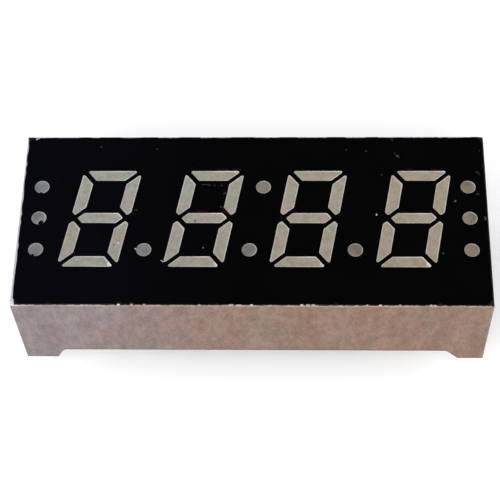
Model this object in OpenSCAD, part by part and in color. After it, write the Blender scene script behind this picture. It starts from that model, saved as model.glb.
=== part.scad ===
// Four digit seven segment display module with a clock colon and side indicator dots.
// Origin: centre of the seating plane, which is the plane of the four feet. +Z is the viewing side,
// +X runs to the right along the row of digits, and +Y runs to the top of the digits.

/* [Housing] */
// Width of the moulded block
body_w = 30; // [29.6:0.1:40]
// Depth of the moulded block
body_d = 12.6; // [11.4:0.1:18]
// Height of the block from the bottom edge of its walls to the face
body_h = 6.25; // [4.6:0.05:10]
// Thickness of the skirt wall round the circuit board
wall = 0.8; // [0.6:0.05:1]
// Chamfer along the outer edges of the face
face_chamfer = 0.07; // [0.03:0.01:0.07]
// Height of the feet below the bottom edge of the walls
foot_h = 1.05; // [0.6:0.05:2]
// Length of each foot along the walls that meet at its corner
foot_len = 2.05; // [1.2:0.05:3]
// Length of the two feet on the right along the front and back walls
foot_len_right = 1.65; // [1.2:0.05:3]
// Run of the slope that leads from a foot up to the bottom edge
foot_slope = 0.5; // [0.1:0.05:0.8]
// Run of that slope at the two feet on the right, along the front and back walls
foot_slope_right = 0.8; // [0.1:0.05:1]
// Radius of the fillet between that slope and the bottom edge
foot_fillet = 0.4; // [0.2:0.05:0.5]
// Size of the chip broken off the back right corner of the face
corner_break = 0.18; // [0.1:0.02:0.8]

/* [Printed face] */
// Thickness of the black coat
ink_t = 0.03; // [0.02:0.01:0.05]
// Bare strip left along the back edge of the face
ink_back = 0.13; // [0.1:0.01:0.3]
// Bare strip along the left edge at the back corner
ink_left_back = 0.1; // [0.1:0.01:0.2]
// Bare strip along the left edge at the front corner
ink_left_front = 0.16; // [0.1:0.01:0.3]
// Bare strip along the front and right edges
ink_edge = 0.1; // [0.1:0.01:0.2]
// How far the coat's rough edge wanders
ink_rough = 0.03; // [0.005:0.005:0.03]

/* [Digits] */
// Distance between the centres of neighbouring digits
digit_pitch = 6.68; // [6.2:0.02:6.8]
// Shift of the row of digits to the right of the block's centre
digits_shift = 0.25; // [0:0.05:0.3]
// Width over one digit's upright strokes
digit_w = 3.8; // [3.4:0.02:4.1]
// Height of one digit
digit_h = 7.15; // [6:0.05:7.8]
// Width of an upright stroke, measured level
upright_t = 0.81; // [0.7:0.01:1]
// Width of a level stroke
level_t = 0.75; // [0.65:0.01:0.95]
// Width of the black line between two strokes
stroke_gap = 0.3; // [0.2:0.01:0.4]
// Distance from a digit's side to the crossing of the lines at its waist
waist_in = 0.225; // [0.15:0.005:0.3]
// Radius of a stroke's corners
stroke_r = 0.09; // [0.04:0.01:0.12]
// Slant of the digits in degrees
slant = 10; // [0:1:12]

/* [Dots] */
// Diameter of every round window
dot_d = 0.96; // [0.8:0.02:1.2]
// Distance from the inside of each side wall to the column of dots beside it
side_dot_in = 0.43; // [0.38:0.01:0.5]
// Shift of both columns to the right of the block's centre
side_dots_shift = 0.05; // [-0.05:0.01:0.05]
// Distance from the middle row of dots to the rows above and below it
dot_row = 2.34; // [2:0.02:2.8]

/* [Reflector funnels] */
// Size of a stroke's funnel at the board, as a share of its window
funnel_share = 0.5; // [0.46:0.01:0.7]
// Diameter of a dot's funnel at the board
dot_funnel_d = 0.74; // [0.7:0.02:0.76]

/* [Circuit board] */
// Thickness of the board
board_t = 0.8; // [0.6:0.1:1.2]
// Clearance between the board's edge and the skirt wall
board_clear = 0.12; // [0.08:0.01:0.2]
// Gap between the board and the reflector block, filled by the casting
board_gap = 0.15; // [0.08:0.01:0.3]
// Side of each square pad that the board is seated on
rest_w = 0.9; // [0.6:0.1:1.2]
// Thickness of the copper
copper_t = 0.035; // [0.018:0.001:0.07]
// Diameter of the copper ring round each pin
ring_d = 1.5; // [1.2:0.1:1.8]

/* [Casting] */
// Thickness of the casting behind the board
back_cover = 0.75; // [0.65:0.05:1.5]
// Distance from the bottom edge of the walls up to the back of the casting
back_recess = 0.35; // [0.1:0.05:0.8]

/* [Pins] */
// Diameter of a round pin over its tinned free length
pin_d = 0.5; // [0.4:0.02:0.6]
// Thickness of the tin on the free length
tin_t = 0.01; // [0.005:0.005:0.02]
// Number of pins in each of the two rows
pins_per_row = 7; // [6:1:9]
// Distance between neighbouring pins
pin_pitch = 2.54; // [2:0.02:2.54]
// Distance between the two rows of pins
row_span = 7.62; // [7:0.02:8]
// Length of a pin below the seating plane
pin_reach = 3.2; // [2.5:0.1:6]
// Length of the tapered end of a pin
pin_point = 0.2; // [0.1:0.05:0.4]
// Radial clearance between a pin and its hole in the board
hole_clear = 0.18; // [0.15:0.01:0.22]
// Height of the solder fillet behind the board
solder_h = 0.42; // [0.3:0.02:0.5]
// Thickness of the fillet where it ends on the pin
solder_neck = 0.08; // [0.04:0.01:0.1]
// Bare copper left outside the fillet
solder_inset = 0.08; // [0.04:0.01:0.12]

/* [Light emitting chips] */
// Side of a chip
chip_w = 0.24; // [0.2:0.01:0.26]
// Height of a chip
chip_h = 0.2; // [0.15:0.01:0.28]
// Side of the copper pad that carries a chip
die_pad_w = 0.34; // [0.3:0.01:0.36]
// Side of the copper pad that takes a bond wire
bond_pad_w = 0.18; // [0.12:0.01:0.2]
// Distance along the board from a chip's centre to the far end of its wire
wire_span = 0.4; // [0.36:0.01:0.42]
// Diameter of a bond wire
wire_d = 0.03; // [0.02:0.005:0.04]

/* [Hidden] */
DIGITS = [1, 2, 3, 4];
STROKES = ["a", "b", "c", "d", "e", "f", "g"];
DOTS = ["left_1", "left_2", "left_3", "point_1", "colon_1", "colon_2", "point_3", "right_1", "right_2", "right_3"];
CHIPS = concat([for (i = DIGITS, s = STROKES) str(i, s)], DOTS);
PINS = [1 : 2 * pins_per_row];

// Levels, from the seating plane up
edge_z = foot_h;
back_z = edge_z + back_recess;
board_z = back_z + back_cover;
board_top_z = board_z + board_t;
block_z = board_top_z + board_gap;
face_z = edge_z + body_h;
plastic_z = face_z - ink_t;
chip_z = board_top_z + copper_t;

// Plan sizes that follow from the driving dimensions
skirt_w = body_w - 2 * wall;
skirt_d = body_d - 2 * wall;
board_w = skirt_w - 2 * board_clear;
board_d = skirt_d - 2 * board_clear;
core_d = pin_d - 2 * tin_t;
hole_d = core_d + 2 * hole_clear;
side_dot_x = skirt_w / 2 - side_dot_in;
past = 1;     // how far a cut runs past the face it starts from
blend = 0.05; // how far the casting's parts run into each other
facets = 64;
wire_facets = 16;
fillet_steps = 6;

// Fracture at the broken corner: its turn about the upright, its lean, and its length in sizes of the break
break_turn = 60;
break_lean = 52;
break_long = 3;
coat_lost = 1.7; // width of the coat lost with it, in the same sizes

// Plan of a digit: half sizes and the crossing at the waist, before the slant
half_w = digit_w / 2;
half_h = digit_h / 2;
cut = stroke_gap / sqrt(2);
waist_x = half_w - waist_in;
shear = tan(slant);

function digit_x(i) = digits_shift + digit_pitch * (i - 2.5);
function flip(points, sx, sy) = [for (p = points) [sx * p[0], sy * p[1]]];
function slanted(points) = [for (p = points) [p[0] + shear * p[1], p[1]]];

// Corners of the strokes before the slant: one of each kind, the others are its mirror images
top_stroke = [
    [half_w - cut, half_h],
    [cut - half_w, half_h],
    [cut - half_w + level_t, half_h - level_t],
    [half_w - cut - level_t, half_h - level_t]
];
side_stroke = [
    [half_w, half_h - cut],
    [half_w - upright_t, half_h - cut - upright_t],
    [half_w - upright_t, cut + waist_x - half_w + upright_t],
    [waist_x, cut],
    [half_w, cut + waist_in]
];
waist_stroke = [
    [waist_x - cut, 0],
    [waist_x - cut - level_t / 2, level_t / 2],
    [cut - waist_x + level_t / 2, level_t / 2],
    [cut - waist_x, 0],
    [cut - waist_x + level_t / 2, -level_t / 2],
    [waist_x - cut - level_t / 2, -level_t / 2]
];
function stroke_corners(s) =
    s == "a" ? top_stroke :
    s == "b" ? side_stroke :
    s == "c" ? flip(side_stroke, 1, -1) :
    s == "d" ? flip(top_stroke, -1, -1) :
    s == "e" ? flip(side_stroke, -1, -1) :
    s == "f" ? flip(side_stroke, -1, 1) :
    waist_stroke;

// Area of a closed outline, which is positive when it runs anticlockwise
function shoelace(p) =
    let (n = len(p), terms = [for (i = [0 : n - 1]) p[i][0] * p[(i + 1) % n][1] - p[(i + 1) % n][0] * p[i][1]])
    terms * [for (t = terms) 1] / 2;
function anticlockwise(p) = shoelace(p) > 0 ? p : [for (i = [len(p) - 1 : -1 : 0]) p[i]];
function unit(v) = v / norm(v);

// Outline with each corner turned into an arc of radius r, in steps of a third of the turn
corner_steps = 3;
function rounded(p, r) = [
    for (i = [0 : len(p) - 1])
        let (
            here = p[i],
            u = unit(p[(i + len(p) - 1) % len(p)] - here),
            v = unit(p[(i + 1) % len(p)] - here),
            half_angle = acos(u * v) / 2,
            centre = here + unit(u + v) * r / sin(half_angle),
            start = atan2(u[0], -u[1]),
            turn = 180 - 2 * half_angle
        )
        for (k = [0 : corner_steps])
            let (angle = start + turn * k / corner_steps)
            centre + r * [cos(angle), sin(angle)]
];
function stroke_outline(s) = rounded(anticlockwise(slanted(stroke_corners(s))), stroke_r);

// Middle of a stroke, where its chip sits
function mean(p) = [for (k = [0, 1]) [for (q = p) q[k]] * [for (q = p) 1] / len(p)];
function stroke_middle(s) = mean(slanted(stroke_corners(s)));
function dot_place(name) =
    name == "left_1" ? [side_dots_shift - side_dot_x, dot_row] :
    name == "left_2" ? [side_dots_shift - side_dot_x, 0] :
    name == "left_3" ? [side_dots_shift - side_dot_x, -dot_row] :
    name == "right_1" ? [side_dots_shift + side_dot_x, dot_row] :
    name == "right_2" ? [side_dots_shift + side_dot_x, 0] :
    name == "right_3" ? [side_dots_shift + side_dot_x, -dot_row] :
    name == "point_1" ? [digits_shift - digit_pitch - shear * dot_row, -dot_row] :
    name == "point_3" ? [digits_shift + digit_pitch - shear * dot_row, -dot_row] :
    name == "colon_1" ? [digits_shift + shear * dot_row, dot_row] :
    [digits_shift - shear * dot_row, -dot_row];

// Centre of each funnel's floor and the direction in which its wire runs
function chip_places() = concat(
    [for (i = DIGITS, s = STROKES) [digit_x(i), 0] + stroke_middle(s)],
    [for (d = DOTS) dot_place(d)]
);
function wire_angles() = concat(
    [for (i = DIGITS, s = STROKES) (s == "a" || s == "d" || s == "g") ? 0 : 90 - slant],
    [for (d = DOTS) 90]
);
places = chip_places();
angles = wire_angles();

// Pins count anticlockwise from the front left, seen from the face
function pin_place(i) =
    let (front = i <= pins_per_row, k = front ? i - 1 : 2 * pins_per_row - i)
    [pin_pitch * (k - (pins_per_row - 1) / 2), (front ? -1 : 1) * row_span / 2];

// Copy of an outline about a centre, at a level
function ring(outline, centre, share, z) = [for (p = outline) concat(centre + share * (p - centre), z)];

// Solid between two copies of an outline at two levels
module frustum(outline, centre, low_share, low_z, high_share, high_z) {
    n = len(outline);
    polyhedron(
        points = concat(
            ring(outline, centre, low_share, low_z),
            ring(outline, centre, high_share, high_z)
        ),
        faces = concat(
            [[for (k = [0 : n - 1]) k]],
            [[for (k = [n - 1 : -1 : 0]) n + k]],
            [for (k = [0 : n - 1]) [k, n + k, n + (k + 1) % n, (k + 1) % n]]
        )
    );
}

// All 38 funnels, run on past both ends of the reflector block by the given lengths
module funnels(under, over) {
    depth = plastic_z - block_z;
    slope = (1 - funnel_share) / depth;
    dot_slope = (dot_d - dot_funnel_d) / 2 / depth;
    for (i = DIGITS, s = STROKES) {
        translate([digit_x(i), 0, 0]) {
            frustum(
                stroke_outline(s), stroke_middle(s),
                funnel_share - slope * under, block_z - under,
                1 + slope * over, plastic_z + over
            );
        }
    }
    for (d = DOTS) {
        translate([dot_place(d)[0], dot_place(d)[1], block_z - under]) {
            cylinder(
                h = depth + under + over,
                r1 = dot_funnel_d / 2 - dot_slope * under,
                r2 = dot_d / 2 + dot_slope * over,
                $fn = facets
            );
        }
    }
}

// One flank of the gap between two feet: the fillet, then the slope. A foot is its length and its slope's run.
function flank(span, foot, side) =
    let (
        angle = atan(foot_h / foot[1]),
        top = span / 2 - foot[0] - foot[1] - foot_fillet * tan(angle / 2)
    )
    concat(
        [
            for (k = [0 : fillet_steps])
                let (a = 90 - angle * k / fillet_steps)
                [side * (top + foot_fillet * cos(a)), foot_h - foot_fillet + foot_fillet * sin(a)]
        ],
        [[side * (span / 2 - foot[0]), 0], [side * (span / 2 - foot[0]), -past]]
    );

// Side view of the gap between two feet, the first on the low side, a given distance apart over their outsides
module foot_gap(span, first, second) {
    high = flank(span, second, 1);
    low = flank(span, first, -1);
    polygon(concat(high, [for (k = [len(low) - 1 : -1 : 0]) low[k]]));
}

module block_outside() {
    difference() {
        translate([-body_w / 2, -body_d / 2, 0]) {
            cube([body_w, body_d, plastic_z]);
        }
        for (side = [-1, 1]) {
            translate([side * body_w / 2, 0, plastic_z]) {
                rotate([0, 45, 0]) {
                    cube([sqrt(2) * face_chamfer, body_d + past, sqrt(2) * face_chamfer], center = true);
                }
            }
            translate([0, side * body_d / 2, plastic_z]) {
                rotate([45, 0, 0]) {
                    cube([body_w + past, sqrt(2) * face_chamfer, sqrt(2) * face_chamfer], center = true);
                }
            }
        }
        rotate([90, 0, 0]) {
            linear_extrude(height = body_d + past, center = true) {
                foot_gap(body_w, [foot_len, foot_slope], [foot_len_right, foot_slope_right]);
            }
        }
        rotate([90, 0, 90]) {
            linear_extrude(height = body_w + past, center = true) {
                foot_gap(body_d, [foot_len, foot_slope], [foot_len, foot_slope]);
            }
        }
    }
}

// What has broken away at the back right corner of the face
module broken_corner() {
    translate([body_w / 2, body_d / 2, plastic_z]) {
        rotate([0, break_lean, break_turn]) {
            cube([corner_break, break_long * corner_break, break_long * corner_break], center = true);
        }
    }
}

module housing() {
    color("gainsboro") {
        difference() {
            block_outside();
            translate([-skirt_w / 2, -skirt_d / 2, -past]) {
                cube([skirt_w, skirt_d, block_z + past]);
            }
            funnels(blend, past);
            broken_corner();
        }
        for (sx = [-1, 1], sy = [-1, 1]) {
            translate([sx * (skirt_w - rest_w) / 2, sy * (skirt_d - rest_w) / 2, board_top_z + board_gap / 2]) {
                cube([rest_w, rest_w, board_gap], center = true);
            }
        }
    }
}

// Rough outer edge of the printed coat: a fixed random walk along each side
rough_step = 0.35;
edge_seeds = [11, 12, 13, 14];
function rough(n, seed) = [for (v = rands(-1, 1, n, seed)) v * ink_rough];
function coat_edge() =
    let (
        nx = floor(body_w / rough_step),
        ny = floor(body_d / rough_step),
        x0 = -body_w / 2 + ink_left_front,
        x1 = body_w / 2 - ink_edge,
        y0 = -body_d / 2 + ink_edge,
        y1 = body_d / 2 - ink_back,
        lean = ink_left_back - ink_left_front,
        front = rough(nx, edge_seeds[0]),
        right = rough(ny, edge_seeds[1]),
        back = rough(nx, edge_seeds[2]),
        left = rough(ny, edge_seeds[3])
    )
    concat(
        [for (k = [1 : nx - 1]) [x0 + (x1 - x0) * k / nx, y0 + front[k]]],
        [for (k = [1 : ny - 1]) [x1 + right[k], y0 + (y1 - y0) * k / ny]],
        [for (k = [nx - 1 : -1 : 1]) [x0 + (x1 - x0) * k / nx, y1 + back[k]]],
        [for (k = [ny - 1 : -1 : 1]) [x0 + lean * k / ny + left[k], y0 + (y1 - y0) * k / ny]]
    );

// Flakes lost from the coat along the front edge: distance from the centre and half width.
// A flake's corners are in half widths, and those away from the edge start from the coat's edge.
flake_shape = [[-1.5, 0], [1.5, 0], [0.7, 0.6], [-0.5, 1]];
flakes = [[-8.15, 0.2], [-7.35, 0.16], [-12.6, 0.13], [-2.1, 0.1], [5.3, 0.12], [11.7, 0.14]];

module face_ink() {
    color("black") {
        translate([0, 0, plastic_z]) {
            difference() {
                linear_extrude(height = ink_t) {
                    polygon(coat_edge());
                }
                for (i = DIGITS, s = STROKES) {
                    translate([digit_x(i), 0, -past]) {
                        linear_extrude(height = ink_t + 2 * past) {
                            polygon(stroke_outline(s));
                        }
                    }
                }
                for (d = DOTS) {
                    translate([dot_place(d)[0], dot_place(d)[1], -past]) {
                        cylinder(h = ink_t + 2 * past, d = dot_d, $fn = facets);
                    }
                }
                for (f = flakes) {
                    translate([f[0], -body_d / 2, 0]) {
                        linear_extrude(height = 2 * past, center = true) {
                            polygon([
                                for (p = flake_shape)
                                    [p[0] * f[1], p[1] == 0 ? 0 : ink_edge + p[1] * f[1]]
                            ]);
                        }
                    }
                }
                broken_corner_plan();
            }
        }
    }
}

// Plan of the coat lost with the broken corner
module broken_corner_plan() {
    translate([body_w / 2, body_d / 2, 0]) {
        rotate([0, 0, break_turn]) {
            cube([coat_lost * corner_break, 2 * break_long * corner_break, 2 * past], center = true);
        }
    }
}

module epoxy_casting() {
    color("lightgray") {
        difference() {
            union() {
                translate([-skirt_w / 2, -skirt_d / 2, back_z]) {
                    cube([skirt_w, skirt_d, block_z - back_z]);
                }
                funnels(blend, 0);
            }
            for (sx = [-1, 1], sy = [-1, 1]) {
                translate([sx * (skirt_w - rest_w) / 2, sy * (skirt_d - rest_w) / 2, block_z]) {
                    cube([rest_w, rest_w, 2 * board_gap], center = true);
                }
            }
            circuit_board();
            chip_pads();
            pin_rings();
            solder_joints();
            bond_wires();
            for (c = [0 : len(CHIPS) - 1]) {
                led(c);
            }
            for (i = PINS) {
                pin(i);
            }
        }
    }
}

module circuit_board() {
    color("darkgreen") {
        difference() {
            translate([-board_w / 2, -board_d / 2, board_z]) {
                cube([board_w, board_d, board_t]);
            }
            for (i = PINS) {
                translate([pin_place(i)[0], pin_place(i)[1], board_z - past]) {
                    cylinder(h = board_t + 2 * past, d = hole_d, $fn = facets);
                }
            }
        }
    }
}

// A copper square under each chip, and a smaller one where its wire lands
module chip_pads() {
    color("goldenrod") {
        for (c = [0 : len(CHIPS) - 1]) {
            translate([places[c][0], places[c][1], board_top_z]) {
                rotate([0, 0, angles[c]]) {
                    translate([-wire_span / 2, 0, copper_t / 2]) {
                        cube([die_pad_w, die_pad_w, copper_t], center = true);
                    }
                    translate([wire_span / 2, 0, copper_t / 2]) {
                        cube([bond_pad_w, bond_pad_w, copper_t], center = true);
                    }
                }
            }
        }
    }
}

module pin_rings() {
    color("goldenrod") {
        for (i = PINS) {
            translate([pin_place(i)[0], pin_place(i)[1], board_z - copper_t]) {
                difference() {
                    cylinder(h = copper_t, d = ring_d, $fn = facets);
                    translate([0, 0, -past]) {
                        cylinder(h = copper_t + 2 * past, d = hole_d, $fn = facets);
                    }
                }
            }
        }
    }
}

// Solder that fills each hole round its pin and stands up the pin behind the board
module solder_joints() {
    inner = core_d / 2;
    neck = inner + solder_neck;
    foot_r = ring_d / 2 - solder_inset;
    color("silver") {
        for (i = PINS) {
            translate([pin_place(i)[0], pin_place(i)[1], board_z - copper_t]) {
                rotate_extrude($fn = facets) {
                    polygon([
                        [inner, -solder_h],
                        [neck, -solder_h],
                        [2 * neck - inner, -solder_h / 2],
                        [foot_r, 0],
                        [hole_d / 2, 0],
                        [hole_d / 2, copper_t + board_t],
                        [inner, copper_t + board_t]
                    ]);
                }
            }
        }
    }
}

// A half loop from the top of each chip, then straight down to the landing pad
module bond_wires() {
    color("gold") {
        for (c = [0 : len(CHIPS) - 1]) {
            translate([places[c][0], places[c][1], chip_z + chip_h]) {
                rotate([0, 0, angles[c]]) {
                    rotate([90, 0, 0]) {
                        rotate_extrude(angle = 180, $fn = facets) {
                            translate([wire_span / 2, 0]) {
                                circle(d = wire_d, $fn = wire_facets);
                            }
                        }
                    }
                    translate([wire_span / 2, 0, -chip_h]) {
                        cylinder(h = chip_h, d = wire_d, $fn = wire_facets);
                    }
                }
            }
        }
    }
}

module led(c) {
    color("lightyellow") {
        translate([places[c][0], places[c][1], chip_z + chip_h / 2]) {
            rotate([0, 0, angles[c]]) {
                translate([-wire_span / 2, 0, 0]) {
                    cube([chip_w, chip_w, chip_h], center = true);
                }
            }
        }
    }
}

// Wire from the top of the board to the tapered end, tinned from the casting's back down
module pin(i) {
    color("silver") {
        translate([pin_place(i)[0], pin_place(i)[1], 0]) {
            translate([0, 0, pin_point - pin_reach]) {
                cylinder(h = back_z + pin_reach - pin_point, d = pin_d, $fn = facets);
            }
            translate([0, 0, back_z]) {
                cylinder(h = board_top_z - back_z, d = core_d, $fn = facets);
            }
            translate([0, 0, -pin_reach]) {
                cylinder(h = pin_point, d1 = pin_d / 2, d2 = pin_d, $fn = facets);
            }
        }
    }
}

housing();
face_ink();
epoxy_casting();
circuit_board();
chip_pads();
pin_rings();
solder_joints();
bond_wires();
for (c = [0 : len(CHIPS) - 1]) led(c);
for (i = PINS) pin(i);
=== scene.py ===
"""Looks of a four digit seven segment display module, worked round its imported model, in metres."""

import math

import bpy
import numpy as np
from mathutils import Matrix, Vector


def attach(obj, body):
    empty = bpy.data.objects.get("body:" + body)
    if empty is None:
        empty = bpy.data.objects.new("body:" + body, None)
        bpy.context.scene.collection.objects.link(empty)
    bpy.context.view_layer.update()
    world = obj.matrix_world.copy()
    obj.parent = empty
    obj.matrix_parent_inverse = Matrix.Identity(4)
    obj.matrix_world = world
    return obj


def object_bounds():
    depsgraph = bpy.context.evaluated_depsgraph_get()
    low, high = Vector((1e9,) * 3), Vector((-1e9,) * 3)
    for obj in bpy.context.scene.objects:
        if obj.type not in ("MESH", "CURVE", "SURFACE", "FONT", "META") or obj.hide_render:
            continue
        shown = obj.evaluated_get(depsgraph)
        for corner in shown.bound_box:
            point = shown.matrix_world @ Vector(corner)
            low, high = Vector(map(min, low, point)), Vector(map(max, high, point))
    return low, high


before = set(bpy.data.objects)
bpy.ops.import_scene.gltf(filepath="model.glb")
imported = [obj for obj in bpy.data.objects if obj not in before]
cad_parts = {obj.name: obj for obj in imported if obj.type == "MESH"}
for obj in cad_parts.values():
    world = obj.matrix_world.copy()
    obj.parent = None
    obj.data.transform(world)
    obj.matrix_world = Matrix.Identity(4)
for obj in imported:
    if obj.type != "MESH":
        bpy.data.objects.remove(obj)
cad_box = [list(corner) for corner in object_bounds()]

# ---- Housing ----
# The block is one moulding of white polycarbonate, filled so that it reflects, and aged to a pinkish grey.
# It stands on four corner feet. Its walls keep the faint clouds and streaks of the melt that filled the mould,
# its edges are rubbed pale, and some of the black coat has run over the face's rim.
MM = 0.001


def node(tree, kind, values=None, **settings):
    """Adds a shader node, sets its properties, and sets or links the inputs named in values."""
    made = tree.nodes.new("ShaderNode" + kind)
    for key, value in settings.items():
        setattr(made, key, value)
    for key, value in (values or {}).items():
        if isinstance(value, bpy.types.NodeSocket):
            tree.links.new(value, made.inputs[key])
        else:
            made.inputs[key].default_value = value
    return made


def calc(tree, operation, first, second=0.0):
    """One step of arithmetic on values."""
    return node(tree, "Math", {0: first, 1: second}, operation=operation).outputs[0]


def tint(tree, mask, under, over):
    """The colour under where the mask is 0, and over where it is 1."""
    return node(tree, "Mix", {0: mask, 6: under, 7: over}, data_type="RGBA").outputs[2]


def ramp(tree, value, low, high):
    """0 below low and 1 above high, with a smooth rise between, or the other way round if low is above high."""
    return node(tree, "MapRange", {0: value, 1: low, 2: high}, interpolation_type="SMOOTHSTEP").outputs[0]


def finish_of(name, **sockets):
    """A material whose shader has these constant sockets. Gives the material, its tree, its shader and the place on
    the object in millimetres."""
    material = bpy.data.materials.new(name)
    material.use_nodes = True
    tree = material.node_tree
    shader = tree.nodes["Principled BSDF"]
    for key, value in sockets.items():
        shader.inputs[key.replace("_", " ")].default_value = value
    place = node(tree, "TexCoord").outputs["Object"]
    place = node(tree, "VectorMath", {0: place, "Scale": 1 / MM}, operation="SCALE").outputs[0]
    return material, tree, shader, place


def effect(name, inputs, outputs):
    """A node group with these inputs (label: type and value) and outputs (label: type). Gives the group and its
    input and output nodes."""
    group = bpy.data.node_groups.new(name, "ShaderNodeTree")
    for label, (kind, value) in inputs.items():
        socket = group.interface.new_socket(label, in_out="INPUT", socket_type="NodeSocket" + kind)
        if value is not None:
            socket.default_value = value
    for label, kind in outputs.items():
        group.interface.new_socket(label, in_out="OUTPUT", socket_type="NodeSocket" + kind)
    return group, group.nodes.new("NodeGroupInput"), group.nodes.new("NodeGroupOutput")


def use(tree, group, **values):
    """Places a node group in a tree."""
    made = tree.nodes.new("ShaderNodeGroup")
    made.node_tree = group
    for key, value in values.items():
        if isinstance(value, bpy.types.NodeSocket):
            tree.links.new(value, made.inputs[key])
        else:
            made.inputs[key].default_value = value
    return made.outputs


def dress(material, *names):
    """Gives CAD nodes their material."""
    for name in names:
        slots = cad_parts[name].data.materials
        slots.clear()
        slots.append(material)


def rising(tree, base, mask, swing):
    """The value base where the mask is 0, and base + swing where it is 1."""
    return calc(tree, "ADD", base, calc(tree, "MULTIPLY", mask, swing))


def both(tree, first, *others):
    """The product of masks: 1 where all of them are."""
    for other in others:
        first = calc(tree, "MULTIPLY", first, other)
    return first


def either(tree, first, *others):
    """The largest of masks: 1 where any of them is."""
    for other in others:
        first = calc(tree, "MAXIMUM", first, other)
    return first


def layer(tree, under, mask, share, over):
    """The colour under, with over laid on it by this share of the mask."""
    return tint(tree, both(tree, mask, share), under, over)


def join(tree, shader, colour, roughness, height=None, strength=0.0, depth=0.0):
    """Feeds the shader its colour and roughness, and its normal from a height of this depth in millimetres."""
    tree.links.new(colour, shader.inputs["Base Color"])
    tree.links.new(roughness, shader.inputs["Roughness"])
    if height is not None:
        bump = node(tree, "Bump", {"Height": height, "Strength": strength, "Distance": depth * MM})
        tree.links.new(bump.outputs[0], shader.inputs["Normal"])


# Clouds: a mask of soft noise, stretched by the given vector. Sharpness sets how steeply it goes from 0 to 1.
clouds, given, out = effect(
    "clouds",
    {
        "Place": ("Vector", None),
        "Stretch": ("Vector", (1, 1, 1)),
        "Scale": ("Float", 1.0),
        "Sharpness": ("Float", 1.0),
    },
    {"Mask": "Float"},
)
stretched = node(clouds, "VectorMath", {0: given.outputs[0], 1: given.outputs[1]}, operation="MULTIPLY")
noise = node(clouds, "TexNoise", {"Vector": stretched.outputs[0], "Scale": given.outputs[2], "Detail": 3.0})
steep = calc(clouds, "MULTIPLY", calc(clouds, "SUBTRACT", noise.outputs[0], 0.5), given.outputs[3])
risen = node(clouds, "Math", {0: steep, 1: 0.5}, operation="ADD", use_clamp=True)
clouds.links.new(risen.outputs[0], out.inputs[0])

# Grain: the fine unevenness of a moulded, cast or printed surface, as a height.
grain, given, out = effect("grain", {"Place": ("Vector", None), "Scale": ("Float", 8.0)}, {"Height": "Float"})
fine = node(grain, "TexNoise", {"Vector": given.outputs[0], "Scale": given.outputs[1], "Detail": 4.0})
grain.links.new(fine.outputs[0], out.inputs[0])

# Mark: 1 on and near the line from one point to another, falling softly to 0 at its width.
mark, given, out = effect(
    "mark",
    {
        "Place": ("Vector", None),
        "From": ("Vector", (0, 0, 0)),
        "To": ("Vector", (0, 0, 0)),
        "Width": ("Float", 0.1),
    },
    {"Mask": "Float"},
)
here = node(mark, "VectorMath", {0: given.outputs[0], 1: given.outputs[1]}, operation="SUBTRACT").outputs[0]
along = node(mark, "VectorMath", {0: given.outputs[2], 1: given.outputs[1]}, operation="SUBTRACT").outputs[0]
forward = node(mark, "VectorMath", {0: here, 1: along}, operation="DOT_PRODUCT").outputs["Value"]
whole = node(mark, "VectorMath", {0: along, 1: along}, operation="DOT_PRODUCT").outputs["Value"]
share = node(mark, "Math", {0: forward, 1: whole}, operation="DIVIDE", use_clamp=True).outputs[0]
nearest = node(mark, "VectorMath", {0: along, "Scale": share}, operation="SCALE").outputs[0]
away = node(mark, "VectorMath", {0: here, 1: nearest}, operation="DISTANCE").outputs["Value"]
nearness = calc(mark, "SUBTRACT", 1.0, calc(mark, "DIVIDE", away, given.outputs[3]))
SOFT_PART = 0.55
mark.links.new(ramp(mark, nearness, 0.0, SOFT_PART), out.inputs[0])

EVEN = (1.0, 1.0, 1.0)


def clouded(tree, place, colour, layers):
    """Lays clouds over a colour, one after another. Each has a name, and then its stretch, its scale per millimetre,
    its sharpness, its share and its own colour. Gives the new colour, and the clouds' masks by name."""
    masks = {}
    for name, (stretch, scale, sharpness, share, over) in layers.items():
        masks[name] = use(tree, clouds, Place=place, Stretch=stretch, Scale=scale, Sharpness=sharpness)[0]
        colour = layer(tree, colour, masks[name], share, over)
    return colour, masks


# The block's walls, its moulded face under the coat, and the walls' bottom edge between the feet, in millimetres
LEFT, RIGHT, FRONT, REAR, TOP, UNDERSIDE = -15.0, 15.0, -6.3, 6.3, 7.27, 1.05

plastic, tree, shader, place = finish_of("aged_white_plastic", Roughness=0.5, Specular_IOR_Level=0.2)
x, y, z = node(tree, "SeparateXYZ", {0: place}).outputs[:3]
from_middle = calc(tree, "ABSOLUTE", x)
body = tint(tree, ramp(tree, x, LEFT, 3.0), (0.200, 0.172, 0.185, 1), (0.212, 0.118, 0.083, 1))
ashen_share = rising(tree, 0.22, ramp(tree, x, -4.0, -13.0), 0.4)
melt = {
    "green": ((1.0, 1.0, 0.4), 0.40, 5.5, 0.55, (0.158, 0.158, 0.122, 1)),
    "pink": ((1.0, 1.0, 0.4), 0.65, 6.0, 0.38, (0.275, 0.146, 0.128, 1)),
    "ashen": ((1.0, 1.0, 0.45), 0.45, 6.0, ashen_share, (0.188, 0.192, 0.202, 1)),
    "pale": ((1.2, 1.2, 0.5), 0.90, 6.0, 0.28, (0.345, 0.262, 0.222, 1)),
    "speckle": ((1.0, 1.0, 0.5), 2.80, 4.0, 0.38, (0.128, 0.082, 0.070, 1)),
    "grit": ((1.0, 1.0, 0.6), 7.00, 7.0, 0.34, (0.350, 0.250, 0.220, 1)),
    "streak": ((1.0, 1.0, 0.1), 0.80, 3.0, 0.30, (0.150, 0.094, 0.080, 1)),
}
body, masks = clouded(tree, place, body, melt)

# the right has yellowed more than the left
aged = tint(tree, ramp(tree, x, -13.0, 4.0), (0.92, 0.93, 1.00, 1), (0.95, 0.85, 0.72, 1))
body = node(tree, "VectorMath", {0: body, 1: aged}, operation="MULTIPLY").outputs[0]

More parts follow.
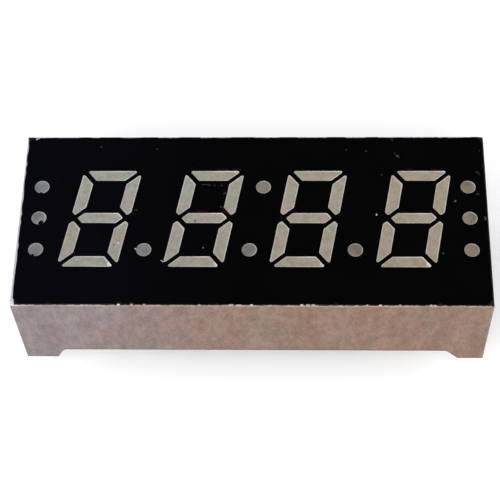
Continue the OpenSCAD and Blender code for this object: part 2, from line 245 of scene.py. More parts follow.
# a pale rub along the face's edge, paler still at the left and back, and a painted highlight on the front left corner
worn = use(tree, clouds, Place=place, Stretch=(1.0, 1.0, 0.3), Scale=1.6, Sharpness=4.0)[0]
edge_rub = ramp(tree, z, TOP - 0.21, TOP - 0.05)
body = layer(tree, body, edge_rub, rising(tree, 0.25, worn, 0.5), (0.420, 0.350, 0.300, 1))
far_rim = either(tree, ramp(tree, x, LEFT + 0.28, LEFT + 0.20), ramp(tree, y, REAR - 0.3, REAR - 0.2))
far_rim = both(tree, far_rim, ramp(tree, z, TOP - 0.22, TOP - 0.07))
body = layer(tree, body, far_rim, 0.75, (0.430, 0.425, 0.480, 1))
# a painted highlight on the tip of the front left corner and along the top edge beside it
corner, corner_end = (LEFT, FRONT, TOP - 0.01), (LEFT + 0.4, FRONT, TOP - 0.01)
corner_highlight = use(tree, mark, Place=place, From=corner, To=corner_end, Width=0.34)[0]
corner_highlight = both(tree, corner_highlight, ramp(tree, z, TOP - 0.19, TOP - 0.07))
body = layer(tree, body, corner_highlight, 0.85, (0.560, 0.560, 0.590, 1))
# a painted highlight on the side walls and along their vertical corner edges
body = layer(tree, body, ramp(tree, from_middle, RIGHT - 0.1, RIGHT), 0.22, (0.420, 0.370, 0.350, 1))

# a darker line along the bottom edges, of the feet and between them
foot_line = ramp(tree, z, 0.16, 0.04)
between = both(tree, ramp(tree, z, UNDERSIDE + 0.17, UNDERSIDE + 0.03), ramp(tree, from_middle, 12.6, 12.2))
body = layer(tree, body, either(tree, foot_line, between), 0.6, (0.085, 0.045, 0.045, 1))

# black that ran over the rim: all along the right and front edges, and over the corners
wander = node(tree, "TexNoise", {"Vector": place, "Scale": 3.5, "Detail": 5.0, "Roughness": 0.7}).outputs[0]
reach = calc(tree, "MULTIPLY", calc(tree, "SUBTRACT", wander, 0.5), 0.16)
loose_x, loose_y = calc(tree, "ADD", x, reach), calc(tree, "ADD", y, reach)
right_run = ramp(tree, loose_x, RIGHT - 0.22, RIGHT - 0.16)
front_run = both(
    tree,
    ramp(tree, loose_y, FRONT + 0.015, FRONT + 0.045),
    ramp(tree, y, FRONT + 0.4, FRONT + 0.3),
    ramp(tree, loose_x, LEFT + 0.22, LEFT + 0.30),
)
back_left_run = both(
    tree,
    ramp(tree, y, REAR - 0.6, REAR - 0.5),
    ramp(tree, loose_x, LEFT + 0.07, LEFT + 0.11),
    ramp(tree, loose_y, REAR - 0.08, REAR - 0.11),
)
front_left_run = both(
    tree,
    ramp(tree, x, LEFT + 0.8, LEFT + 0.7),
    ramp(tree, y, FRONT + 0.9, FRONT + 0.8),
    ramp(tree, loose_x, LEFT + 0.21, LEFT + 0.25),
    ramp(tree, loose_y, FRONT + 0.15, FRONT + 0.19),
)
back_right_run = both(
    tree,
    ramp(tree, x, RIGHT - 0.7, RIGHT - 0.5),
    ramp(tree, y, REAR - 0.4, REAR - 0.3),
    ramp(tree, z, TOP - 0.27, TOP - 0.17),
)
# and along the back, except where it was scraped off again: where each scrape starts and ends
SCRAPE_WIDTH = 0.22
back_run = ramp(tree, y, REAR - 0.3, REAR - 0.2)
for start, end in [
    (-14.35, -11.75),
    (-10.62, -10.40),
    (-8.70, -7.60),
    (-6.20, -5.10),
    (-3.40, -1.70),
    (0.20, 1.50),
    (3.00, 4.60),
    (6.10, 7.20),
    (8.30, 10.60),
    (10.98, 11.75),
    (12.15, 14.05),
]:
    first, last = (start, REAR - 0.05, TOP - 0.03), (end, REAR - 0.05, TOP - 0.03)
    scraped = use(tree, mark, Place=place, From=first, To=last, Width=SCRAPE_WIDTH)[0]
    back_run = both(tree, back_run, calc(tree, "SUBTRACT", 1.0, scraped))
run = either(tree, right_run, front_run, back_left_run, back_run, front_left_run)
run = both(tree, run, ramp(tree, z, TOP - 0.080, TOP - 0.055))
INK_RUN = (0.0010, 0.0009, 0.0010, 1)
body = tint(tree, either(tree, run, back_right_run), body, INK_RUN)

# bits of the front rim where the black has chipped off again: where each starts and ends, and its share of pale
CHIP_WIDTH, BARE_PLASTIC = 0.07, (0.560, 0.520, 0.480, 1)
for start, end, share in [
    (-8.23, -8.17, 1.0),
    (-7.42, -7.36, 0.5),
    (-6.64, -6.56, 0.4),
    (-3.22, -3.16, 0.4),
    (-1.32, -1.10, 0.5),
    (-0.86, -0.62, 0.5),
    (0.03, 0.09, 0.9),
    (3.12, 3.20, 0.9),
    (3.46, 3.62, 0.5),
    (3.80, 3.94, 0.5),
    (7.18, 7.22, 0.5),
    (7.96, 8.04, 0.9),
    (9.18, 9.24, 0.5),
    (11.08, 11.14, 0.5),
    (11.32, 11.38, 0.5),
]:
    first, last = (start, FRONT + 0.05, TOP - 0.02), (end, FRONT + 0.05, TOP - 0.02)
    chipped = use(tree, mark, Place=place, From=first, To=last, Width=CHIP_WIDTH)[0]
    body = layer(tree, body, chipped, share, BARE_PLASTIC)
moulded = use(tree, grain, Place=place, Scale=9.0)[0]
join(tree, shader, body, rising(tree, 0.46, masks["speckle"], 0.16), moulded, 0.25, 0.02)
dress(plastic, "housing")

# ---- Printed face ----
# The face is screen printed with one coat of matt black ink, which leaves the 28 strokes and 10 dots bare. Handling
# has left small chips, scratches and grains of pale plastic in it, and faint red smears beside some strokes.
ink, tree, shader, place = finish_of("worn_black_ink", Specular_IOR_Level=0.02)

PALE = (0.42, 0.41, 0.43, 1)
GREY = (0.10, 0.10, 0.105, 1)
DIM = (0.020, 0.019, 0.022, 1)
ROSE = (0.062, 0.031, 0.040, 1)
RED = (0.026, 0.002, 0.008, 1)
# colour, where each mark starts and ends on the face in millimetres, and half its width
ink_marks = [
    (PALE, (-14.40, 6.06), (-14.25, 6.17), 0.055),
    (GREY, (-14.47, 6.16), (-14.32, 6.17), 0.060),
    (DIM, (-10.07, 5.46), (-10.05, 5.47), 0.080),
    (DIM, (-6.39, 5.30), (-6.36, 5.31), 0.070),
    (DIM, (6.02, 5.21), (6.05, 5.20), 0.070),
    (DIM, (7.33, 5.13), (7.35, 5.12), 0.070),
    (DIM, (9.03, 5.99), (9.09, 5.98), 0.070),
    (ROSE, (9.29, 4.78), (9.46, 4.66), 0.075),
    (DIM, (9.17, 4.98), (9.19, 4.95), 0.060),
    (DIM, (14.70, 5.17), (14.72, 5.15), 0.070),
    (DIM, (14.40, 3.49), (14.52, 3.43), 0.060),
    (DIM, (14.52, 3.43), (14.60, 3.29), 0.060),
    (DIM, (14.38, 1.78), (14.46, 1.83), 0.080),
    (GREY, (12.92, 1.24), (12.98, 1.31), 0.052),
    (PALE, (7.90, 0.26), (7.93, 0.24), 0.058),
    (DIM, (8.29, 3.28), (8.31, 3.27), 0.075),
    (ROSE, (14.79, 0.06), (14.80, -0.10), 0.080),
    (GREY, (12.00, -2.59), (12.02, -2.59), 0.058),
    (DIM, (-3.29, 2.54), (-2.85, 2.52), 0.050),
    (DIM, (-2.88, 2.50), (-2.84, 2.49), 0.070),
    (DIM, (-2.52, 2.49), (-2.48, 2.47), 0.070),
    (DIM, (-2.06, 2.46), (-2.03, 2.45), 0.070),
    (DIM, (-1.86, 1.83), (-1.80, 1.90), 0.080),
    (DIM, (-2.05, 0.83), (-2.00, 0.82), 0.080),
    (GREY, (-3.09, -2.19), (-3.08, -2.20), 0.065),
    (DIM, (-7.54, 0.60), (-7.48, 0.59), 0.080),
    (PALE, (-8.21, -6.12), (-8.19, -6.17), 0.060),
    (GREY, (-7.44, -6.15), (-7.38, -6.18), 0.080),
    (PALE, (-7.39, -2.27), (-7.31, -2.36), 0.042),
    (PALE, (-5.69, -3.13), (-5.56, -3.23), 0.030),
]
# the soft red smears: where each starts and ends, and half its width
smears = [
    ((-2.35, 3.68), (-1.70, 3.67), 0.11),
    ((-1.25, 3.70), (-0.90, 3.68), 0.15),
    ((-3.55, 0.49), (-3.00, 0.47), 0.12),
    ((-4.20, 0.40), (-4.05, 0.38), 0.10),
    ((-1.90, 0.58), (-1.62, 0.36), 0.14),
    ((9.95, 3.68), (10.3, 3.67), 0.09),
    ((11.5, 3.68), (11.9, 3.67), 0.09),
    ((11.35, 0.47), (11.7, 0.30), 0.11),
    ((9.55, 0.45), (9.75, 0.44), 0.08),
    ((14.84, 4.00), (14.86, 3.80), 0.10),
]
# the marks' edges tremble by a twentieth of a millimetre, and a mark doesn't depend on height
tremble = node(tree, "TexNoise", {"Vector": place, "Scale": 9.0, "Detail": 2.0}).outputs[1]
tremble = node(tree, "VectorMath", {0: tremble, 1: (0.5, 0.5, 0.5)}, operation="SUBTRACT").outputs[0]
TREMBLE = 0.10
tremble = node(tree, "VectorMath", {0: tremble, "Scale": TREMBLE}, operation="SCALE").outputs[0]
shaken = node(tree, "VectorMath", {0: place, 1: tremble}, operation="ADD").outputs[0]
flat = node(tree, "VectorMath", {0: shaken, 1: (1, 1, 0)}, operation="MULTIPLY").outputs[0]
x = node(tree, "SeparateXYZ", {0: place}).outputs[0]
black = tint(tree, ramp(tree, x, -14.0, 0.0), (0.0009, 0.0010, 0.0026, 1), (0.0002, 0.0002, 0.0003, 1))
black, masks = clouded(tree, place, black, {"haze": (EVEN, 0.35, 3.0, 0.5, (0.0010, 0.0008, 0.0014, 1))})
SMEAR_SHARE = 0.45
for start, end, width in smears:
    mask = use(tree, mark, Place=flat, From=(*start, 0), To=(*end, 0), Width=width)[0]
    black = layer(tree, black, mask, SMEAR_SHARE, RED)
for colour, start, end, width in ink_marks:
    mask = use(tree, mark, Place=flat, From=(*start, 0), To=(*end, 0), Width=width)[0]
    black = tint(tree, mask, black, colour)
dust = node(tree, "TexVoronoi", {"Vector": place, "Scale": 0.9, "Randomness": 1.0}).outputs[0]
black = tint(tree, ramp(tree, dust, 0.04, 0.015), black, (0.010, 0.009, 0.011, 1))
printed = use(tree, grain, Place=place, Scale=14.0)[0]
join(tree, shader, black, rising(tree, 0.62, masks["haze"], 0.2), printed, 0.3, 0.004)
dress(ink, "face_ink")

# ---- Casting ----
# Milky epoxy fills the funnels and seals the board in from behind, in one pour with the face down on a tape. It shows
# in the 38 windows, where it creeps up the coat's edge, which carries a thin painted highlight, and across the whole
# back.
casting, tree, shader, place = finish_of("milky_epoxy", Specular_IOR_Level=0.3)
x, y = node(tree, "SeparateXYZ", {0: place}).outputs[:2]
milk = tint(tree, ramp(tree, x, -14.0, 13.0), (0.228, 0.258, 0.250, 1), (0.262, 0.200, 0.124, 1))
pour = {
    "green": (EVEN, 0.8, 5.0, 0.50, (0.206, 0.238, 0.150, 1)),
    "pink": ((1.1, 1.0, 1.0), 1.2, 6.0, 0.50, (0.302, 0.212, 0.186, 1)),
    "fleck": (EVEN, 4.5, 4.0, 0.45, (0.155, 0.140, 0.110, 1)),
}
milk, masks = clouded(tree, place, milk, pour)
milk = layer(tree, milk, ramp(tree, y, 1.5, -3.6), 0.3, (0.190, 0.150, 0.110, 1))
milk = clouded(tree, place, milk, {"patch": (EVEN, 2.2, 5.0, 0.22, (0.360, 0.345, 0.300, 1))})[0]

# the dots are darker than the strokes, with a swirl in them
in_dot = node(tree, "Attribute", attribute_name="in_dot").outputs["Fac"]
in_dot_colour = tint(tree, ramp(tree, x, -13.0, 12.0), (0.098, 0.100, 0.132, 1), (0.098, 0.074, 0.054, 1))
swirl = {"swirl": ((1.0, 1.3, 1.0), 1.9, 6.0, 0.5, (0.055, 0.050, 0.050, 1))}
in_dot_colour = clouded(tree, place, in_dot_colour, swirl)[0]
milk = layer(tree, milk, in_dot, rising(tree, 0.52, masks["green"], 0.3), in_dot_colour)

# the painted highlight along each window's rim, brighter here and there, and fainter in the dots
at_rim = node(tree, "Attribute", attribute_name="at_rim").outputs["Fac"]
lit = use(tree, clouds, Place=place, Scale=1.3, Sharpness=4.0)[0]
fainter = calc(tree, "SUBTRACT", 1.0, calc(tree, "MULTIPLY", in_dot, 0.4))
bright = both(tree, at_rim, rising(tree, 0.4, lit, 0.5), fainter)
milk = tint(tree, bright, milk, (0.66, 0.65, 0.60, 1))

# light caught in the lower right corner of each digit's lowest stroke: the digit's centre, and the share of light
SKIN = 7.28
for centre, share in [(-9.77, 0.5), (-3.09, 0.25), (3.59, 0.25), (10.27, 0.42)]:
    first, last = (centre + 0.8, -3.36, SKIN), (centre + 1.0, -3.5, SKIN)
    caught = use(tree, mark, Place=place, From=first, To=last, Width=0.20)[0]
    milk = layer(tree, milk, caught, share, (0.72, 0.71, 0.66, 1))
# a painted glint and two grains in the resin, given as the ink's marks are
for colour, start, end, width in [
    # a painted glint
    (PALE, (-8.53, -1.83), (-8.48, -1.86), 0.085),
    (RED, (-3.69, -0.17), (-3.67, -0.20), 0.09),
    (GREY, (-8.78, -1.95), (-8.76, -1.99), 0.09),
]:
    mask = use(tree, mark, Place=place, From=(*start, SKIN), To=(*end, SKIN), Width=width)[0]
    milk = layer(tree, milk, mask, 0.75, colour)
cast = use(tree, grain, Place=place, Scale=5.0)[0]
join(tree, shader, milk, rising(tree, 0.38, masks["fleck"], 0.2), cast, 0.2, 0.01)
dress(casting, "epoxy_casting")

# The windows' outlines, as the coat leaves them, in millimetres about a digit's centre
HALF_WIDE, HALF_HIGH = 1.90, 3.575
UPRIGHT, LEVEL = 0.81, 0.75
GAP, WAIST = 0.3, 0.225
SLANT = math.tan(math.radians(10))
STROKE_CORNER = 0.09
DIGIT_PITCH, DIGITS_RIGHT = 6.68, 0.25
cut = GAP / math.sqrt(2)
crossing = HALF_WIDE - WAIST
top_stroke = [
    (HALF_WIDE - cut, HALF_HIGH),
    (cut - HALF_WIDE, HALF_HIGH),
    (cut - HALF_WIDE + LEVEL, HALF_HIGH - LEVEL),
    (HALF_WIDE - cut - LEVEL, HALF_HIGH - LEVEL),
]
upper_right_stroke = [
    (HALF_WIDE, HALF_HIGH - cut),
    (HALF_WIDE - UPRIGHT, HALF_HIGH - cut - UPRIGHT),
    (HALF_WIDE - UPRIGHT, cut + crossing - HALF_WIDE + UPRIGHT),
    (crossing, cut),
    (HALF_WIDE, cut + WAIST),
]
middle_stroke = [
    (crossing - cut, 0),
    (crossing - cut - LEVEL / 2, LEVEL / 2),
    (cut - crossing + LEVEL / 2, LEVEL / 2),
    (cut - crossing, 0),
    (cut - crossing + LEVEL / 2, -LEVEL / 2),
    (crossing - cut - LEVEL / 2, -LEVEL / 2),
]
mirrors = {
    "a": (top_stroke, 1, 1),
    "b": (upper_right_stroke, 1, 1),
    "c": (upper_right_stroke, 1, -1),
    "d": (top_stroke, 1, -1),
    "e": (upper_right_stroke, -1, -1),
    "f": (upper_right_stroke, -1, 1),
    "g": (middle_stroke, 1, 1),
}


def stroke_corners(stroke):
    """The corners of a stroke, mirrored into place, then each moved sideways by its height times the slant."""
    corners, flip_x, flip_y = mirrors[stroke]
    points = np.array(corners, float) * (flip_x, flip_y)
    if flip_x * flip_y < 0:
        points = points[::-1]
    points[:, 0] += SLANT * points[:, 1]
    return points


def moved_in(corners, depth):
    """Every side of a convex outline moved inwards by depth: each new corner solves the equations of two sides,
    inward normal times point = offset."""
    side = np.roll(corners, -1, 0) - corners
    inward = np.stack([-side[:, 1], side[:, 0]], 1) / np.linalg.norm(side, axis=1)[:, None]
    offset = (inward * corners).sum(1) + depth
    pair = np.stack([np.roll(inward, 1, 0), inward], 1)
    return np.linalg.solve(pair, np.stack([np.roll(offset, 1), offset], 1)[..., None])[..., 0]


def rounded(corners, radius, steps=4):
    """Every corner turned into an arc: centre plus radius times (cos, sin) of an angle that runs through the turn,
    with the centre on the corner's bisector at radius / sin(half the corner's angle)."""
    back = np.roll(corners, 1, 0) - corners
    ahead = np.roll(corners, -1, 0) - corners
    back /= np.linalg.norm(back, axis=1)[:, None]
    ahead /= np.linalg.norm(ahead, axis=1)[:, None]
    half = np.arccos((back * ahead).sum(1)) / 2
    middle_way = back + ahead
    middle_way /= np.linalg.norm(middle_way, axis=1)[:, None]
    centre = corners + middle_way * (radius / np.sin(half))[:, None]
    start = np.arctan2(back[:, 0], -back[:, 1])
    angle = start[:, None] + (np.pi - 2 * half)[:, None] * np.linspace(0, 1, steps)
    return (centre[:, None] + radius * np.stack([np.cos(angle), np.sin(angle)], 2)).reshape(-1, 2)


# how far inside the edge each ring of a window's skin lies, and the sizes of the copies that fill its middle
DEPTHS = np.array([0.002, 0.010, 0.022, 0.038, 0.058, 0.082, 0.11, 0.15])
SHARES = np.array([0.8, 0.55, 0.3])


def window_rings(ring_at):
    """Rings from the coat's edge inwards, then scaled copies of the last one. ring_at(depth) gives the outline at a
    distance from the edge. The height is TOP + 0.004 + 0.019 exp(-depth / 0.03), the creep of a wetting resin,
    and the share of the painted rim highlight is exp(-(depth / 0.05) squared)."""
    outer = np.stack([ring_at(depth) for depth in DEPTHS])
    centre = outer[-1].mean(0)
    inner = centre + SHARES[:, None, None] * (outer[-1] - centre)
    flat_rings = np.concatenate([outer[:1], outer, inner])
    depth = np.concatenate([DEPTHS[:1], DEPTHS, np.full(len(SHARES), 0.3)])
    height = TOP + 0.004 + 0.019 * np.exp(-depth / 0.03)
    height[0] = TOP - 0.004
    rim_highlight_share = np.exp(-((depth / 0.05) ** 2))
    rings = np.concatenate(
        [flat_rings, np.broadcast_to(height[:, None, None], flat_rings.shape[:2] + (1,))], 2
    )
    poles = np.array([[*centre, height[0]], [*centre, height[-1]]])
    return rings, poles, rim_highlight_share


def shell(rings, poles):
    """Vertices and faces of a closed skin: rows of the grid joined by quads round and round, closed at each end by a
    fan to its pole."""
    rows, count = rings.shape[:2]
    index = np.arange(rows * count).reshape(rows, count)
    ahead = np.roll(index, -1, 1)
    quads = np.stack([index[:-1], ahead[:-1], ahead[1:], index[1:]], 2).reshape(-1, 4)
    low, high = rows * count, rows * count + 1
    bottom = np.stack([ahead[0], index[0], np.full(count, low)], 1)
    cap = np.stack([index[-1], ahead[-1], np.full(count, high)], 1)
    return np.concatenate([rings.reshape(-1, 3), poles]), quads.tolist() + bottom.tolist() + cap.tolist()


def piece(name, parts, material, slot, **attributes):
    """One object from several skins, each (vertices in mm, faces), with its point attributes, riding on the part."""
    vertices = np.concatenate([part[0] for part in parts]) * MM
    shift = np.cumsum([0] + [len(part[0]) for part in parts[:-1]])
    faces = [[int(i + s) for i in face] for part, s in zip(parts, shift) for face in part[1]]
    mesh = bpy.data.meshes.new(name)
    mesh.from_pydata(vertices.tolist(), [], faces)
    for key, values in attributes.items():
        mesh.attributes.new(key, "FLOAT", "POINT").data.foreach_set(
            "value", np.concatenate(values).astype(np.float32)
        )
    mesh.shade_smooth()
    mesh.materials.append(material)
    made = bpy.data.objects.new(name, mesh)
    bpy.context.collection.objects.link(made)
    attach(made, "root")
    return made


def rim_highlight_values(rings, rim_highlight_share):
    """The share of the painted rim highlight at every vertex of a shell: the ring's share times 0.7 + 0.45 times the
    cosine of the vertex's bearing from +X about the window's centre, so the painted highlight is brightest on each
    window's right side, then 0 at the two poles."""
    spoke = rings[:, :, 0] - rings[:, :, 0].mean(1)[:, None]
    rise = rings[:, :, 1] - rings[:, :, 1].mean(1)[:, None]
    share = rim_highlight_share[:, None] * (0.7 + 0.45 * spoke / np.hypot(spoke, rise))
    return np.concatenate([share.ravel(), [0, 0]])


for digit in range(4):
    skins, rim_highlights = [], []
    for stroke in mirrors:
        sharp = stroke_corners(stroke) + (DIGITS_RIGHT + DIGIT_PITCH * (digit - 1.5), 0)
        rings, poles, rim_highlight_share = window_rings(
            lambda depth: rounded(moved_in(sharp, depth), max(STROKE_CORNER - depth, 0.02))
        )
        skins.append(shell(rings, poles))
        rim_highlights.append(rim_highlight_values(rings, rim_highlight_share))
    piece(
        f"digit_{digit + 1}_windows",
        skins,
        casting,
        "milky_epoxy",
        at_rim=rim_highlights,
        in_dot=[np.zeros(len(skin[0])) for skin in skins],
    )

# the ten round windows: three at each side, the colon, and the points after the first and third digits
DOT_RADIUS, SIDE_DOTS, SIDE_SHIFT, DOT_ROWS = 0.48, 13.77, 0.05, 2.34
dots = (
    [(SIDE_SHIFT + side * SIDE_DOTS, row * DOT_ROWS) for side in (-1, 1) for row in (1, 0, -1)]
    + [(DIGITS_RIGHT + k * DIGIT_PITCH - SLANT * DOT_ROWS, -DOT_ROWS) for k in (-1, 0, 1)]
    + [(DIGITS_RIGHT + SLANT * DOT_ROWS, DOT_ROWS)]
)
round_angle = np.linspace(0, 2 * np.pi, 64, endpoint=False)
unit_circle = np.stack([np.cos(round_angle), np.sin(round_angle)], 1)
skins, rim_highlights = [], []
for centre in dots:
    rings, poles, rim_highlight_share = window_rings(lambda depth: np.array(centre) + (DOT_RADIUS - depth) * unit_circle)
    skins.append(shell(rings, poles))
    rim_highlights.append(rim_highlight_values(rings, rim_highlight_share))
piece(
    "dot_windows",
    skins,
    casting,
    "milky_epoxy",
    at_rim=rim_highlights,
    in_dot=[np.ones(len(skin[0])) for skin in skins],
)

# Behind, the resin set with a free surface: it lies a little wavy, and creeps up the walls and the pins.
SKIRT_X, SKIRT_Y = 14.2, 5.5
BACK = 1.40
LID = BACK + 0.03
PIN_X, PIN_Y = 2.54 * np.arange(-3, 4), 3.81 * np.array([-1, 1])
PIN_RADIUS = 0.25


def spaced(edge, stops):
    """Grid lines from -edge to edge: close together at both ends and round each stop, half a millimetre apart
    elsewhere."""
    near_stop = np.array([0.0, 0.12, 0.2, 0.25, 0.29, 0.34, 0.42, 0.55])
    near_edge = np.array([0.04, 0.09, 0.16, 0.26, 0.4])
    too_close = 0.015
    even_lines = np.linspace(-edge, edge, int(4 * edge))
    stop_lines = (np.array(stops)[:, None] + np.concatenate([-near_stop[1:], near_stop])).ravel()
    lines = np.sort(np.concatenate([even_lines, stop_lines, edge - near_edge, near_edge - edge]))
    return lines[np.concatenate([[True], np.diff(lines) > too_close])]


def back_skin():
    """The resin's free surface as a height field over the opening between the walls: BACK - 0.006, minus 0.14 times
    exp(-distance to the wall / 0.2), minus 0.12 times exp(-distance to the pin / 0.12), minus a slow wave of two
    sines. A wall up from its border and a flat lid just inside the casting close it."""
    xs, ys = spaced(SKIRT_X, PIN_X), spaced(SKIRT_Y, PIN_Y)
    grid_x, grid_y = np.meshgrid(xs, ys)
    to_wall = np.minimum(SKIRT_X - abs(grid_x), SKIRT_Y - abs(grid_y))
    to_pin = np.min([np.hypot(grid_x - px, grid_y - py) for px in PIN_X for py in PIN_Y], axis=0) - PIN_RADIUS
    wave = 0.012 * (2 + np.sin(0.9 * grid_x + 0.7) * np.cos(0.8 * grid_y) + np.sin(0.37 * grid_x - 1.1 * grid_y))
    wall_creep = 0.14 * np.exp(-to_wall / 0.2)
    pin_creep = 0.12 * np.exp(-np.maximum(to_pin, 0) / 0.12)
    height = BACK - 0.006 - wall_creep - pin_creep - wave
    rows, columns = grid_x.shape
    index = np.arange(rows * columns).reshape(rows, columns)
    quads = np.stack([index[:-1, :-1], index[1:, :-1], index[1:, 1:], index[:-1, 1:]], 2).reshape(-1, 4)
    border = np.concatenate([index[0, :-1], index[:-1, -1], index[-1, :0:-1], index[:0:-1, 0]])
    field = np.stack([grid_x.ravel(), grid_y.ravel(), height.ravel()], 1)
    lid = field[border] * (1, 1, 0) + (0, 0, LID)
    upper = len(field) + np.arange(len(border))
    wall = np.stack([border, np.roll(border, -1), np.roll(upper, -1), upper], 1)
    pole = len(field) + len(border)
    fan = np.stack([upper, np.roll(upper, -1), np.full(len(border), pole)], 1)
    return np.concatenate([field, lid, [[0, 0, LID]]]), quads.tolist() + wall.tolist() + fan.tolist()


piece("casting_back_skin", [back_skin()], casting, "milky_epoxy")

# ---- Ink blots ----
# A little of the coat bled under the screen at the lower edges of three dots and dried there in thin blots.
# An outline of radius size (1 + 0.16 sin(2 angle + turn) + 0.09 sin(5 angle + 3 turn)), drawn in by rings to a dome.
# where each is, its size and its turn
blots = [((-13.56, -0.33), 0.15, 0.3), ((-13.88, -2.74), 0.09, 1.2), ((-13.74, 1.88), 0.08, 2.0)]
share = np.array([1.0, 1.0, 0.93, 0.78, 0.5, 0.2])
height = TOP + np.array([0, 0.012, 0.021, 0.025, 0.027, 0.028])
skins = []
for centre, size, turn in blots:
    wave = size * (1 + 0.16 * np.sin(2 * round_angle + turn) + 0.09 * np.sin(5 * round_angle + 3 * turn))
    flat_rings = np.array(centre) + share[:, None, None] * (wave[:, None] * unit_circle)
    rings = np.concatenate([flat_rings, np.broadcast_to(height[:, None, None], (len(height), len(wave), 1))], 2)
    skins.append(shell(rings, np.array([[*centre, height[0]], [*centre, height[-1]]])))
piece("ink_blots", skins, ink, "black_ink")

# ---- Circuit board ----
# Glass cloth laminate under green resist, sealed in the casting, with the weave showing through the resist.
laminate, tree, shader, place = finish_of("green_laminate", Specular_IOR_Level=0.4)
weave = [
    node(
        tree,
        "TexWave",
        {"Vector": place, "Scale": 0.8, "Distortion": 0.6, "Detail": 1.0},
        bands_direction=direction,
    ).outputs["Fac"]
    for direction in ("X", "Y")
]
cloth = calc(tree, "MAXIMUM", *weave)
green = tint(tree, cloth, (0.030, 0.095, 0.035, 1), (0.055, 0.150, 0.055, 1))
join(tree, shader, green, rising(tree, 0.3, cloth, 0.15))
dress(laminate, "circuit_board")

# ---- Plated copper ----
# The pads under the chips, the pads where their wires land, and the ring round each pin are copper plated with gold.
plating, tree, shader, place = finish_of("plated_copper", Metallic=1.0)
patchy = use(tree, clouds, Place=place, Scale=3.0, Sharpness=2.0)[0]
plated = tint(tree, patchy, (0.72, 0.50, 0.20, 1), (0.80, 0.60, 0.30, 1))
join(tree, shader, plated, rising(tree, 0.22, patchy, 0.2))
dress(plating, "chip_pads", "pin_rings")

# ---- Solder ----
# Each pin is soldered behind the board, and the joint fills its hole: bright where it froze slowly, dull elsewhere.
solder, tree, shader, place = finish_of("bright_solder", Metallic=1.0)
frost = use(tree, clouds, Place=place, Scale=4.0, Sharpness=2.6)[0]
frozen = tint(tree, frost, (0.60, 0.60, 0.62, 1), (0.42, 0.42, 0.44, 1))
join(tree, shader, frozen, rising(tree, 0.18, frost, 0.3))
dress(solder, "solder_joints")

# ---- Chips and bond wires ----
# One crystal of yellowish semiconductor sits on each pad, with its sawn edges, and a gold wire loops from its top.
crystal, tree, shader, place = finish_of("chip_crystal", Specular_IOR_Level=0.8)
sawn = use(tree, clouds, Place=place, Stretch=(1.0, 1.0, 6.0), Scale=9.0, Sharpness=3.0)[0]
yellowish = tint(tree, sawn, (0.62, 0.50, 0.14, 1), (0.44, 0.33, 0.09, 1))
join(tree, shader, yellowish, rising(tree, 0.12, sawn, 0.3))
dress(crystal, *[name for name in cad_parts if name.startswith("led_")])
gold, tree, shader, place = finish_of("gold_wire", Metallic=1.0)
drawn = use(tree, clouds, Place=place, Scale=20.0, Sharpness=2.0)[0]
golden = tint(tree, drawn, (0.85, 0.62, 0.25, 1), (0.74, 0.50, 0.17, 1))
join(tree, shader, golden, rising(tree, 0.15, drawn, 0.15))
dress(gold, "bond_wires")

# ---- Pins ----
# Fourteen round steel wires, hot tinned: the coat is satin with drawn-out streaks, and duller at the sheared end.
tinned, tree, shader, place = finish_of("tinned_wire", Metallic=1.0)
z = node(tree, "SeparateXYZ", {0: place}).outputs[2]
streaks = use(tree, clouds, Place=place, Stretch=(1.0, 1.0, 0.12), Scale=6.0, Sharpness=2.4)[0]
metal = tint(tree, streaks, (0.66, 0.66, 0.67, 1), (0.47, 0.46, 0.47, 1))
metal = tint(tree, ramp(tree, z, -2.92, -3.05), metal, (0.33, 0.31, 0.30, 1))
join(tree, shader, metal, rising(tree, 0.24, streaks, 0.28), streaks, 0.25, 0.01)
dress(tinned, *[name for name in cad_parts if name.startswith("pin_") and name != "pin_rings"])

# ---- Floor, lights and camera ----
# A plain pale table, a large soft light above and in front, two weaker ones at the sides, and an even pale surround.
surface, tree, shader, place = finish_of("pale_table", Roughness=0.9, Specular_IOR_Level=0.1)
faint = use(tree, clouds, Place=place, Scale=0.03, Sharpness=1.0)[0]
tree.links.new(tint(tree, faint, (0.95, 0.95, 0.95, 1), (0.97, 0.97, 0.97, 1)), shader.inputs["Base Color"])
HALF_TABLE, LINES = 0.5, 9
side = np.linspace(-HALF_TABLE, HALF_TABLE, LINES)
grid_x, grid_y = np.meshgrid(side, side)
table_z = cad_box[0][2]
spots = np.stack([grid_x.ravel(), grid_y.ravel(), np.full(grid_x.size, table_z)], 1)
corner = (np.arange(LINES - 1)[:, None] * LINES + np.arange(LINES - 1)).ravel()
squares = np.stack([corner, corner + 1, corner + LINES + 1, corner + LINES], 1)
floor_mesh = bpy.data.meshes.new("floor")
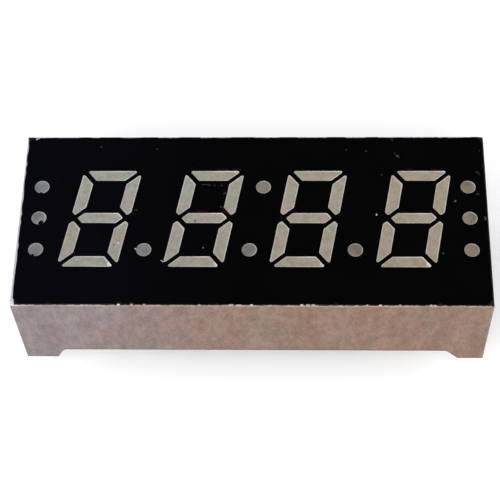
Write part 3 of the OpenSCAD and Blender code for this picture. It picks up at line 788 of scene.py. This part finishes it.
floor_mesh.from_pydata(spots.tolist(), [], squares.tolist())
floor_mesh.materials.append(surface)
floor = bpy.data.objects.new("floor", floor_mesh)
bpy.context.collection.objects.link(floor)

# each light: where it is, its width in metres and its power in watts; all point at the object
for name, spot, width, power in [
    ("soft_light_front", (-0.04, -0.19, 0.24), 0.22, 0.80),
    ("soft_light_left", (-0.26, 0.02, 0.17), 0.18, 0.26),
    ("soft_light_right", (0.26, 0.02, 0.18), 0.18, 0.26),
]:
    lamp = bpy.data.lights.new(name, "AREA")
    lamp.size, lamp.energy = width, power
    holder = bpy.data.objects.new(name, lamp)
    bpy.context.collection.objects.link(holder)
    turn = Vector(spot).to_track_quat("Z", "Y").to_matrix().to_4x4()
    holder.matrix_world = Matrix.Translation(spot) @ turn
world = bpy.data.worlds.new("surround")
bpy.context.scene.world = world
world.use_nodes = True
surround = world.node_tree.nodes["Background"]
surround.inputs["Color"].default_value = (0.95, 0.97, 1.0, 1)
surround.inputs["Strength"].default_value = 0.55
bpy.context.scene.view_settings.view_transform = "Standard"

AZIMUTH, ELEVATION, ROLL = (math.radians(angle) for angle in (4.22, 59.99, -3.57))
TARGET = Vector((-0.114, -2.357, 7.30)) * MM
DISTANCE = 94.123 * MM
LENS, SENSOR = 107.475, 36.0
back = Vector((
    math.sin(AZIMUTH) * math.cos(ELEVATION),
    -math.cos(AZIMUTH) * math.cos(ELEVATION),
    math.sin(ELEVATION),
))
level = Vector((math.cos(AZIMUTH), math.sin(AZIMUTH), 0))
upward = back.cross(level)
right = math.cos(ROLL) * level + math.sin(ROLL) * upward
up = -math.sin(ROLL) * level + math.cos(ROLL) * upward
lens = bpy.data.cameras.new("camera")
lens.lens, lens.sensor_width = LENS, SENSOR
lens.clip_start, lens.clip_end = 0.001, 10.0
camera = bpy.data.objects.new("camera", lens)
bpy.context.collection.objects.link(camera)
placed = Matrix((right, up, back)).transposed().to_4x4()
placed.translation = TARGET + back * DISTANCE
camera.matrix_world = placed
bpy.context.scene.camera = camera
